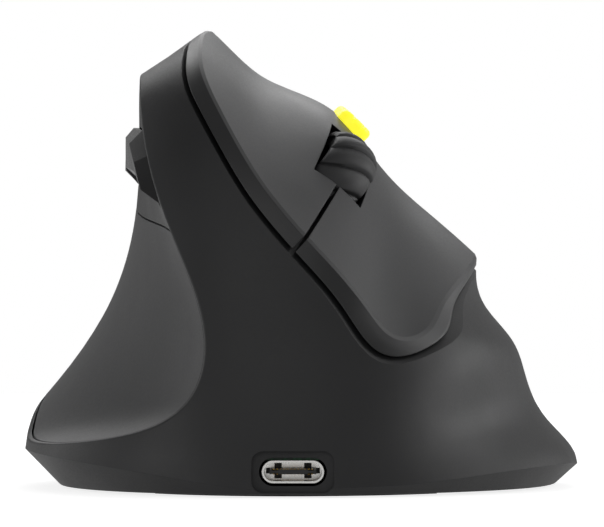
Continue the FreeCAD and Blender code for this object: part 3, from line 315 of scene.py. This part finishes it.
# %% The electrical parts' plastics
chip_epoxy = moulded("moulded_epoxy", ("#18181a", "#1d1d1f"), roughness=0.5, ior=1.5,
                     grain_mm=0.2, depth_mm=0.004, edge_mm=0.1, patch_mm=3.0)
dress(chip_epoxy, "sensor_chip", "controller_chip")
switch_nylon = moulded("glass_filled_nylon", ("#1a1a1b", "#1f1f20"), roughness=0.4, ior=1.53,
                       grain_mm=0.3, depth_mm=0.003, edge_mm=0.1, patch_mm=5.0)
dress(switch_nylon, "upper_switch", "lower_switch", "middle_switch", "dpi_switch",
      "front_side_switch", "rear_side_switch", "power_switch_body", "usb_c_tongue")
acetal = moulded("white_acetal", ("#dfddd4", "#e8e6de"), roughness=0.35, ior=1.48,
                 grain_mm=0.4, depth_mm=0.002, edge_mm=0.1, patch_mm=3.0)
shader = acetal.node_tree.nodes["Principled BSDF"]
shader.inputs["Subsurface Weight"].default_value = 0.1
shader.inputs["Subsurface Radius"].default_value = (MM, MM, 0.8 * MM)
dress(acetal, "upper_plunger", "lower_plunger", "middle_plunger", "dpi_plunger",
      "front_side_plunger", "rear_side_plunger")

# %% [markdown]
# ## The cell and its tape
# The flat cell is a foil pouch in a thin blue film, with the soft dents of vacuum packing: a slow
# noise with a large depth. It lies on black foam tape, whose open pores are small round pits,
# painted darker towards their middles as painted shade.

# %% The cell and the foam tape
PORE_SIZE, PORE_DEPTH = 0.5, 0.08
cell_film = moulded("cell_wrapping_film", ("#27549a", "#2d5ea6"), roughness=0.3, ior=1.5,
                    grain_mm=7.0, depth_mm=0.12, edge_mm=0.3, patch_mm=10.0)
dress(cell_film, "battery")
foam, shader = new_material("black_foam_tape", "#2b2b2b", roughness=0.85, ior=1.4)
place = add_node(foam, "TexCoord").outputs["Object"]
pores = add_node(foam, "TexVoronoi", {"Vector": place}, Scale=1 / (PORE_SIZE * MM))
pits = add_node(foam, "Bump", {"Height": pores.outputs["Distance"]},
                Strength=0.8, Distance=PORE_DEPTH * MM)
# Painted shade: the pits get darker towards their middles.
shade = add_node(foam, "ValToRGB", {"Fac": pores.outputs["Distance"]})
for stop, grey in zip(shade.color_ramp.elements, ("#161616", "#343434")):
    stop.color = linear(grey)
foam.node_tree.links.new(pits.outputs["Normal"], shader.inputs["Normal"])
foam.node_tree.links.new(shade.outputs["Color"], shader.inputs["Base Color"])
dress(foam, "battery_pad")

# %% [markdown]
# ## Feet
# The feet are black PTFE film, the slipperiest plastic there is. It has a low refractive index and
# fine lines from skiving, which run along its length.

# %% The feet
STROKE_WIDTH, STROKE_DEPTH, FILM_EDGE = 0.4, 0.004, 0.1
foot_ptfe, shader = new_material("black_ptfe_film", "#29292a", roughness=0.3, ior=1.38)
place = add_node(foot_ptfe, "TexCoord").outputs["Object"]
skived = add_node(foot_ptfe, "Mapping", {"Vector": place}, Scale=(0.1, 1.0, 1.0))
strokes = add_node(foot_ptfe, "TexNoise", {"Vector": skived.outputs["Vector"]},
                   Scale=1 / (STROKE_WIDTH * MM), Detail=2.0)
gloss = add_node(foot_ptfe, "MapRange", {"Value": strokes.outputs["Fac"]}, To_Min=0.22, To_Max=0.42)
edge = add_node(foot_ptfe, "Bevel", samples=4, Radius=FILM_EDGE * MM)
relief = add_node(foot_ptfe, "Bump",
                  {"Height": strokes.outputs["Fac"], "Normal": edge.outputs["Normal"]},
                  Strength=0.4, Distance=STROKE_DEPTH * MM)
foot_ptfe.node_tree.links.new(gloss.outputs[0], shader.inputs["Roughness"])
foot_ptfe.node_tree.links.new(relief.outputs["Normal"], shader.inputs["Normal"])
dress(foot_ptfe, "front_foot", "rear_foot")

# %% [markdown]
# ## The lens
# The lens under the sensor is clear acrylic. All light goes through it, and a trace of haze keeps its
# surface from being a perfect mirror.

# %% The lens
HAZE_SIZE = 1.5
lens_acrylic, shader = new_material("clear_acrylic", "#f4f8fa", roughness=0.05, ior=1.49)
shader.inputs["Transmission Weight"].default_value = 1.0
place = add_node(lens_acrylic, "TexCoord").outputs["Object"]
haze = add_node(lens_acrylic, "TexNoise", {"Vector": place}, Scale=1 / (HAZE_SIZE * MM), Detail=2.0)
gloss = add_node(lens_acrylic, "MapRange", {"Value": haze.outputs["Fac"]}, To_Min=0.03, To_Max=0.09)
lens_acrylic.node_tree.links.new(gloss.outputs[0], shader.inputs["Roughness"])
dress(lens_acrylic, "sensor_lens")

# %% [markdown]
# ## Tools for new pieces
# The tyre and the resolution button look better with softer forms than the exact solids have, and the
# port's contacts and the chips' leads are too small to be worth solids. These pieces are modelled as
# by hand: a primitive, a few edit-mode steps, then modifiers that are applied. The wheel and the
# button sit on the slope, so they are made lying flat round the origin and then carried to the slope,
# whose frame has its x across the fingers, its y towards the palm and its z out of the slope, at the
# wheel's centre.

# %% The slope's frame and the modelling tools
WHEEL_CENTRE = Vector((1.7, -20.07, 43.84))
SLOPE_TURN = math.radians(10)
SLOPE = (Matrix.Translation(WHEEL_CENTRE * MM) @ Matrix.Rotation(SLOPE_LEAN, 4, "Y")
         @ Matrix.Rotation(SLOPE_TURN, 4, "Z"))


def pick_points(piece, test):
    """Selects the vertices whose place passes the test, and stays in edit mode."""
    bpy.ops.object.mode_set(mode="EDIT")
    bpy.ops.mesh.select_mode(type="VERT")
    bpy.ops.mesh.select_all(action="DESELECT")
    bpy.ops.object.mode_set(mode="OBJECT")
    for vertex in piece.data.vertices:
        vertex.select = test(vertex.co)
    bpy.ops.object.mode_set(mode="EDIT")


def finish_piece(piece, place, material, body, slot, *replaced, smooth_degrees=30):
    """Puts the place into the mesh, smooths it, dresses it and ties it to its body."""
    bpy.ops.object.mode_set(mode="OBJECT")
    piece.matrix_world = place
    bpy.ops.object.select_all(action="DESELECT")
    piece.select_set(True)
    bpy.context.view_layer.objects.active = piece
    bpy.ops.object.transform_apply(location=True, rotation=True, scale=True)
    bpy.ops.object.shade_smooth_by_angle(angle=math.radians(smooth_degrees))
    piece.data.materials.append(material)
    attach(piece, body)
    if replaced:
        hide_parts(*replaced)
    size = [round(length / MM, 1) for length in piece.dimensions]
    print(piece.name, "faces:", len(piece.data.polygons), "size in mm:", size)


# %% [markdown]
# ## The tread
# The real tread is a rubber ring with soft slanted ribs. Each rib rises slowly out of its groove and
# drops sharply into the next, like the teeth of a ratchet, so a finger grips it one way. The same
# shape cut from a solid would have hard-edged slots, so it is made in steps from a plain ring. First
# come the tyre's sizes and its outline, as pairs of a radius and a place across the wheel. RIB_FALL
# says how far each step round one rib lies below the crown.

# %% The tread's outline
TYRE_RADIUS, TYRE_INNER, TYRE_HALF = 11.0, 8.4, 4.0
FLANK_RADIUS, SHOULDER_RADIUS, SHOULDER_HALF = 9.15, 9.4, 3.85
CROWN_RADIUS, CROWN_STEP, CROWN_STEPS = 5.8, 0.8, 4
RIBS, RIB_START, RIB_SLANT = 14, -1.0, 33.0
RIB_FLOOR, RIB_MIDDLE = 9.0, 10.3
RIB_FALL = (0.7, 0.42, 0.34, 0.27, 0.2, 0.14, 0.09, 0.05, 0.02, 0.0, 0.0, 0.01, 0.04, 0.14)
RIB_STEPS = len(RIB_FALL)
flank = [(TYRE_INNER, -TYRE_HALF), (FLANK_RADIUS, -TYRE_HALF), (SHOULDER_RADIUS, -SHOULDER_HALF)]
outline = list(flank)
for step in range(-CROWN_STEPS, CROWN_STEPS + 1):
    across = CROWN_STEP * step
    outline.append((TYRE_RADIUS - CROWN_RADIUS + math.sqrt(CROWN_RADIUS ** 2 - across ** 2), across))
outline += [(radius, -across) for radius, across in reversed(flank)]
print("outline points:", len(outline), "steps round the tread:", RIBS * RIB_STEPS)

# %% [markdown]
# The plain ring could be spun from its outline. Here a circle with one point for each step of a rib
# is extruded from each point of the outline to the next and scaled to its radius, so that the points
# of a step lie in one row. Bridging its two open ends closes the inside.

# %% The plain ring
bpy.ops.object.select_all(action="DESELECT")
bpy.ops.mesh.primitive_circle_add(vertices=RIBS * RIB_STEPS, radius=TYRE_INNER * MM,
                                  fill_type="NOTHING", location=(0, 0, -TYRE_HALF * MM))
tread = bpy.context.object
tread.name = "wheel_tread"
bpy.ops.object.transform_apply(location=True)
bpy.ops.object.mode_set(mode="EDIT")
bpy.ops.mesh.select_all(action="SELECT")
for (radius_a, across_a), (radius_b, across_b) in zip(outline, outline[1:]):
    move = {"value": (0, 0, (across_b - across_a) * MM)}
    bpy.ops.mesh.extrude_region_move(TRANSFORM_OT_translate=move)
    ratio = radius_b / radius_a
    bpy.ops.transform.resize(value=(ratio, ratio, 1), center_override=(0, 0, 0))
bpy.ops.mesh.select_mode(type="EDGE")
bpy.ops.mesh.select_all(action="DESELECT")
bpy.ops.mesh.select_non_manifold()
bpy.ops.mesh.bridge_edge_loops()
bpy.ops.object.mode_set(mode="OBJECT")
print("plain ring faces:", len(tread.data.polygons))

# %% [markdown]
# Each rib has the same steps, so one step of all ribs is drawn inwards at once. The points of a step
# are found by their direction from the axle.


# %% The ribs
def rib_step(co):
    """The step of its rib that a point of the tread belongs to."""
    return round(math.atan2(co.y, co.x) / math.tau * RIBS * RIB_STEPS) % RIB_STEPS


for step, fall in enumerate(RIB_FALL):
    if fall == 0:
        continue
    pick_points(tread, lambda co: co.xy.length > RIB_FLOOR * MM and rib_step(co) == step)
    shrink = 1 - fall / RIB_MIDDLE
    bpy.ops.transform.resize(value=(shrink, shrink, 1), center_override=(0, 0, 0))
bpy.ops.mesh.select_all(action="SELECT")
bpy.ops.mesh.normals_make_consistent(inside=False)
bpy.ops.object.mode_set(mode="OBJECT")
print("fall of a rib in mm:", max(RIB_FALL))

# %% [markdown]
# The ribs are straight so far. A twist round the axle slants them all alike, which saves placing each
# point of a slanted rib. Then the ring is stood on edge at the wheel's place.

# %% The slant and the place
twist = tread.modifiers.new("slant", "SIMPLE_DEFORM")
twist.deform_method, twist.deform_axis = "TWIST", "Z"
twist.angle = -math.tan(math.radians(RIB_SLANT)) * 2 * TYRE_HALF / RIB_MIDDLE
bpy.ops.object.modifier_apply(modifier=twist.name)
wheel_place = SLOPE @ Matrix.Rotation(math.radians(90), 4, "Y")
finish_piece(tread, wheel_place @ Matrix.Rotation(math.radians(RIB_START), 4, "Z"), tread_rubber,
             "wheel", "wheel_rubber", "wheel_tyre", smooth_degrees=50)

# %% [markdown]
# ## The resolution button
# The button is a small neon block with rounded corners and three soft ridges along it, which tell the
# finger where it is without a look. A Bevel modifier would round all edges alike, so two bevels in
# edit mode round the upright corners widely and then the top's rim tightly. The edges are selected by
# the places of their ends, and HAIR is how far from its exact place a point may be found.


# %% The button's block
HAIR = 0.01
CAP_WIDTH, CAP_LENGTH, CAP_TOP, CAP_FOOT = 5.6, 10.0, 12.85, 9.0
CAP_CORNER, CAP_RIM = 2.2, 0.8


def pick_edges(piece, test):
    """Selects the edges whose two ends pass the test, and stays in edit mode."""
    bpy.ops.object.mode_set(mode="EDIT")
    bpy.ops.mesh.select_mode(type="EDGE")
    bpy.ops.mesh.select_all(action="DESELECT")
    bpy.ops.object.mode_set(mode="OBJECT")
    for edge in piece.data.edges:
        edge.select = test(*[piece.data.vertices[n].co for n in edge.vertices])
    bpy.ops.object.mode_set(mode="EDIT")


bpy.ops.object.select_all(action="DESELECT")
bpy.ops.mesh.primitive_cube_add(size=1.0)
cap = bpy.context.object
cap.name = "ridged_cap"
cap.scale = (CAP_WIDTH * MM, CAP_LENGTH * MM, (CAP_TOP - CAP_FOOT) * MM)
bpy.ops.object.transform_apply(scale=True)
pick_edges(cap, lambda a, b: abs(a.z - b.z) > MM)
bpy.ops.mesh.bevel(offset=CAP_CORNER * MM, segments=8)
top = (CAP_TOP - CAP_FOOT) / 2 * MM
pick_edges(cap, lambda a, b: min(a.z, b.z) > top - HAIR * MM)
bpy.ops.mesh.bevel(offset=CAP_RIM * MM, segments=5)
bpy.ops.object.mode_set(mode="OBJECT")
print("block faces:", len(cap.data.polygons))

# %% [markdown]
# Below the block a stem goes down to the switch. It grows out of the block's own foot: the foot's
# face is inset to the stem's size, moved over the switch and extruded, so block and stem are one
# closed skin as in the moulding.

# %% The button's stem
CAP_ACROSS, CAP_ALONG = -0.5, 18.0
STEM_HALF, STEM_FOOT = 1.3, -4.15
pick_points(cap, lambda co: co.z < -top + HAIR * MM)
bpy.ops.mesh.select_mode(type="FACE")
bpy.ops.mesh.inset(thickness=(CAP_WIDTH / 2 - STEM_HALF) * MM)
stem_ratio = 2 * STEM_HALF / (CAP_LENGTH - CAP_WIDTH + 2 * STEM_HALF)
bpy.ops.transform.resize(value=(1, stem_ratio, 1), center_override=(0, 0, 0))
bpy.ops.transform.translate(value=(-CAP_ACROSS * MM, 0, 0))
move = {"value": (0, 0, (STEM_FOOT - CAP_FOOT) * MM)}
bpy.ops.mesh.extrude_region_move(TRANSFORM_OT_translate=move)
print("stem down to z =", STEM_FOOT, "mm of the slope")

# %% [markdown]
# Two grooves part the top into three ridges. Cutting them out would leave sharp walls. Instead the
# block is cut into strips by bisect, five lines for each groove, and the lines inside a groove are
# pressed in, the middle one twice as far as its neighbours. Bisect's own threshold is too coarse for
# a piece of a few millimetres, so it gets a finer one.

# %% The ridges
GROOVE_PLACE, GROOVE_HALF, GROOVE_FALL, GROOVE_REACH = 0.95, 0.4, 0.4, 0.9
CUT_THRESHOLD = 0.00001
for side in (-1, 1):
    for shift in (-GROOVE_HALF, -GROOVE_HALF / 2, 0, GROOVE_HALF / 2, GROOVE_HALF):
        bpy.ops.mesh.select_mode(type="VERT")
        bpy.ops.mesh.select_all(action="SELECT")
        bpy.ops.mesh.bisect(plane_co=((side * GROOVE_PLACE + shift) * MM, 0, 0),
                            plane_no=(1, 0, 0), threshold=CUT_THRESHOLD * MM)
for side in (-1, 1):
    for shift, share in ((-GROOVE_HALF / 2, 0.5), (0, 1.0), (GROOVE_HALF / 2, 0.5)):
        line = (side * GROOVE_PLACE + shift) * MM
        pick_points(cap, lambda co: abs(co.x - line) < 2 * HAIR * MM
                    and co.z > top - GROOVE_REACH * MM)
        bpy.ops.transform.translate(value=(0, 0, -GROOVE_FALL * share * MM))
bpy.ops.object.mode_set(mode="OBJECT")
print("ridged faces:", len(cap.data.polygons))

# %% [markdown]
# The button goes to its place behind the wheel. The faces that lie below the plates' surface get the
# darker copy without the glow, painted shade that keeps the slot round the button dark.

# %% The button in its place
PLATE_LEVEL = 10.0
cap_middle = Vector((CAP_ACROSS, CAP_ALONG, (CAP_TOP + CAP_FOOT) / 2))
finish_piece(cap, SLOPE @ Matrix.Translation(cap_middle * MM), painted_glow_neon_abs, "dpi_key", "neon_yellow",
             "dpi_button", smooth_degrees=40)
cap.data.materials.append(shaded_abs)
to_slope = SLOPE.inverted()
# Painted shade: faces below the plate level take the darker copy.
for face in cap.data.polygons:
    if (to_slope @ face.center).z < PLATE_LEVEL * MM:
        face.material_index = 1
print("faces in the shade:", sum(face.material_index for face in cap.data.polygons))

# %% [markdown]
# ## The port's contacts
# The port's tongue has twelve flat contacts above and twelve below, half a millimetre apart, plated
# with gold over nickel. One strip is a small box with its upper edges rounded. It is copied along the
# tongue by an Array modifier, and the row is mirrored to the underside.


# %% The contacts
def repeat_row(piece, count, pitch):
    """Copies the piece along x, count times in all, pitch mm apart."""
    row = piece.modifiers.new("row", "ARRAY")
    row.count = count
    row.use_relative_offset, row.use_constant_offset = False, True
    row.constant_offset_displace = (pitch * MM, 0, 0)
    bpy.ops.object.modifier_apply(modifier=row.name)


TONGUE_MIDDLE, TONGUE_HALF = Vector((-1.3, -50.5, 3.7)), 0.35
CONTACTS, CONTACT_PITCH, CONTACT_WIDTH, CONTACT_LENGTH = 12, 0.5, 0.26, 3.2
CONTACT_RISE, CONTACT_EDGE = 0.04, 0.03
contact_gold = plated("gold_plated_contacts", "#e3b558", roughness=0.24, line_mm=0.2, stretch=6.0)
bpy.ops.object.select_all(action="DESELECT")
bpy.ops.mesh.primitive_cube_add(size=1.0)
strip = bpy.context.object
strip.name = "port_contacts"
strip.scale = (CONTACT_WIDTH * MM, CONTACT_LENGTH * MM, 2 * CONTACT_RISE * MM)
strip.location = (-CONTACT_PITCH * (CONTACTS - 1) / 2 * MM, 0, TONGUE_HALF * MM)
bpy.ops.object.transform_apply(location=True, scale=True)
pick_edges(strip, lambda a, b: min(a.z, b.z) > TONGUE_HALF * MM)
bpy.ops.mesh.bevel(offset=CONTACT_EDGE * MM, segments=2)
bpy.ops.object.mode_set(mode="OBJECT")
repeat_row(strip, CONTACTS, CONTACT_PITCH)
under = strip.modifiers.new("under", "MIRROR")
under.use_axis = (False, False, True)
under.use_mirror_merge = False
bpy.ops.object.modifier_apply(modifier=under.name)
finish_piece(strip, Matrix.Translation(TONGUE_MIDDLE * MM), contact_gold, "body", "port_steel")

# %% [markdown]
# ## The chips' leads
# Chips stand on rows of bent, tin-plated leads: out of the body, down, and flat along the board,
# where they are soldered. One lead starts as a small plane whose outer edge is extruded twice.
# Solidify gives it the strip's thickness and Array the row. Each other side of the chip gets a row
# that is made the same way and turned.

# %% The leads
BOARD_TOP = 6.55
LEAD_OUT, LEAD_BEND, LEAD_FLAT, LEAD_THICKNESS, LEAD_FOOT = 0.4, 0.12, 0.5, 0.12, 0.07
lead_tin = plated("tin_plated_copper", "#c9cacb", roughness=0.3, line_mm=0.2, stretch=1.0)


def lead_rows(name, count, pitch, width, rise, half, turns, place):
    """Rows of leads that leave a chip at the height rise, half its width from its middle."""
    rows = []
    for turn in turns:
        bpy.ops.object.select_all(action="DESELECT")
        bpy.ops.mesh.primitive_plane_add(size=1.0)
        leads = bpy.context.object
        leads.scale = (width * MM, LEAD_OUT * MM, 1)
        leads.location = (-pitch * (count - 1) / 2 * MM, half * MM, rise * MM)
        bpy.ops.object.transform_apply(location=True, scale=True)
        outer = max(vertex.co.y for vertex in leads.data.vertices)
        pick_edges(leads, lambda a, b: min(a.y, b.y) > outer - HAIR * MM)
        for move in ((0, LEAD_BEND * MM, (LEAD_FOOT - rise) * MM), (0, LEAD_FLAT * MM, 0)):
            bpy.ops.mesh.extrude_region_move(TRANSFORM_OT_translate={"value": move})
        bpy.ops.object.mode_set(mode="OBJECT")
        sheet = leads.modifiers.new("sheet", "SOLIDIFY")
        sheet.thickness, sheet.offset = LEAD_THICKNESS * MM, 0.0
        bpy.ops.object.modifier_apply(modifier=sheet.name)
        repeat_row(leads, count, pitch)
        leads.rotation_euler = (0, 0, math.radians(turn))
        bpy.ops.object.transform_apply(rotation=True)
        rows.append(leads)
    bpy.ops.object.select_all(action="DESELECT")
    for leads in rows:
        leads.select_set(True)
    bpy.context.view_layer.objects.active = rows[0]
    bpy.ops.object.join()
    rows[0].name = name
    bpy.ops.object.mode_set(mode="EDIT")
    bpy.ops.mesh.select_all(action="SELECT")
    bpy.ops.mesh.normals_make_consistent(inside=False)
    finish_piece(rows[0], Matrix.Translation(Vector(place) * MM), lead_tin, "body", "screw_steel")


lead_rows("controller_leads", count=9, pitch=0.55, width=0.25, rise=0.45, half=3.0,
          turns=(0, 90, 180, 270), place=(5.0, -30.0, BOARD_TOP))
lead_rows("sensor_leads", count=8, pitch=1.2, width=0.4, rise=0.9, half=4.7,
          turns=(90, 270), place=(5.0, -14.0, BOARD_TOP))

# %% [markdown]
# ## The desk and the light
# The mouse stands on a white sheet in a white room, with only a thin shadow under it. The sheet is
# round, 0.7 m in radius, so it ends where the eye takes it for the horizon's haze. Its plain colour
# is a light grey, so that little light is thrown up at the mouse. For rays from the camera it adds a
# glow of its own that makes it white, and half of that glow for rays from reflections, so the object
# is lit no more strongly for it.

# %% The desk
SHEET_RADIUS, SHEET_LEVEL = 0.7, -0.02
SHEET_GLOW, MIRRORED_SHARE = 0.82, 0.5
WHITE = linear("#ffffff")
bpy.ops.object.select_all(action="DESELECT")
bpy.ops.mesh.primitive_circle_add(vertices=128, radius=SHEET_RADIUS, fill_type="NGON",
                                  location=(0, 0, SHEET_LEVEL * MM))
desk = bpy.context.object
desk.name = "desk"
desk_white, shader = new_material("white_desk", "#b4b4b4", roughness=0.8)
path = add_node(desk_white, "LightPath")
mirrored = add_node(desk_white, "Math", {0: path.outputs["Is Glossy Ray"]}, {1: MIRRORED_SHARE},
                    operation="MULTIPLY")
seen = add_node(desk_white, "Math", {0: path.outputs["Is Camera Ray"], 1: mirrored.outputs[0]},
                operation="MAXIMUM")
glow = add_node(desk_white, "Emission", Color=WHITE, Strength=SHEET_GLOW)
both = add_node(desk_white, "AddShader", {0: shader.outputs[0], 1: glow.outputs[0]})
pick = add_node(desk_white, "MixShader",
                {0: seen.outputs[0], 1: shader.outputs[0], 2: both.outputs[0]})
surface = desk_white.node_tree.nodes["Material Output"].inputs["Surface"]
desk_white.node_tree.links.new(pick.outputs[0], surface)
desk.data.materials.append(desk_white)
print("desk sheet across:", round(2 * SHEET_RADIUS, 2), "m")

# %% [markdown]
# ## The room
# The room's walls light the object softly from all sides at a quarter of white. The camera, and
# anything seen through the clear lens, looks past that and sees plain white instead.

# %% The world
ROOM_LIGHT = 0.25
world = bpy.data.worlds.new("white_room")
bpy.context.scene.world = world
world.use_nodes = True
room = world.node_tree.nodes["Background"]
room.inputs["Color"].default_value = WHITE
room.inputs["Strength"].default_value = ROOM_LIGHT
white = add_node(world, "Background", Color=WHITE, Strength=1.0)
rays = add_node(world, "LightPath")
behind = add_node(world, "Math",
                  {0: rays.outputs["Is Camera Ray"], 1: rays.outputs["Is Transmission Ray"]},
                  operation="MAXIMUM")
choose = add_node(world, "MixShader", {0: behind.outputs[0], 1: room.outputs[0], 2: white.outputs[0]})
surface = world.node_tree.nodes["World Output"].inputs["Surface"]
world.node_tree.links.new(choose.outputs[0], surface)
print("room light:", ROOM_LIGHT)

# %% [markdown]
# ## The lamps
# The studio's lamps stand mostly behind and to the right, which is why the front of the mouse is dark
# while its slope, its dish and its right skirt catch soft light. Each is a large softbox, given by
# its place and its size in metres and its power in watts, and turned to the middle of the mouse.

# %% The softboxes
MIDDLE = Vector((0, 0, 0.035))


def softbox(name, place, size, watts):
    """An area lamp that looks at the middle of the mouse."""
    lamp = bpy.data.lights.new(name, "AREA")
    lamp.shape = "RECTANGLE"
    lamp.size, lamp.size_y = size
    lamp.energy = watts
    item = bpy.data.objects.new(name, lamp)
    item.location = place
    item.rotation_euler = (MIDDLE - Vector(place)).to_track_quat("-Z", "Y").to_euler()
    bpy.context.collection.objects.link(item)


softbox("back_softbox", (0.0, 0.7, 0.5), (0.6, 0.4), 1.7)
softbox("left_back_softbox", (-0.7, 0.4, 0.2), (0.4, 0.4), 0.55)
softbox("right_back_softbox", (0.7, 0.4, 0.25), (0.4, 0.4), 0.8)
softbox("right_high_softbox", (0.6, 0.0, 0.55), (0.4, 0.4), 0.85)
softbox("right_low_softbox", (0.7, 0.05, 0.12), (0.5, 0.25), 0.85)
softbox("left_front_softbox", (-0.6, -0.35, 0.07), (0.4, 0.14), 0.5)
softbox("front_softbox", (-0.1, -1.0, 0.55), (0.9, 0.5), 1.3)

# %% [markdown]
# ## The camera
# The object is seen from straight ahead, from 1 m away and 34 mm above the desk. The long lens takes
# in 91.5 mm at that distance, which keeps the object's sides nearly parallel.

# %% The camera
CAMERA_AWAY, CAMERA_UP = 1.0, 0.0336
lens = bpy.data.cameras.new("camera")
lens.sensor_width = 36.0
lens.lens = 393.4
lens.clip_start = 0.01
camera = bpy.data.objects.new("camera", lens)
camera.location = (0.0, -CAMERA_AWAY, CAMERA_UP)
camera.rotation_euler = (math.radians(90), 0, 0)
bpy.context.collection.objects.link(camera)
bpy.context.scene.camera = camera
bpy.context.scene.view_settings.view_transform = "Standard"
print("camera at height", CAMERA_UP, "m, distance", CAMERA_AWAY, "m, lens", round(lens.lens, 1), "mm")
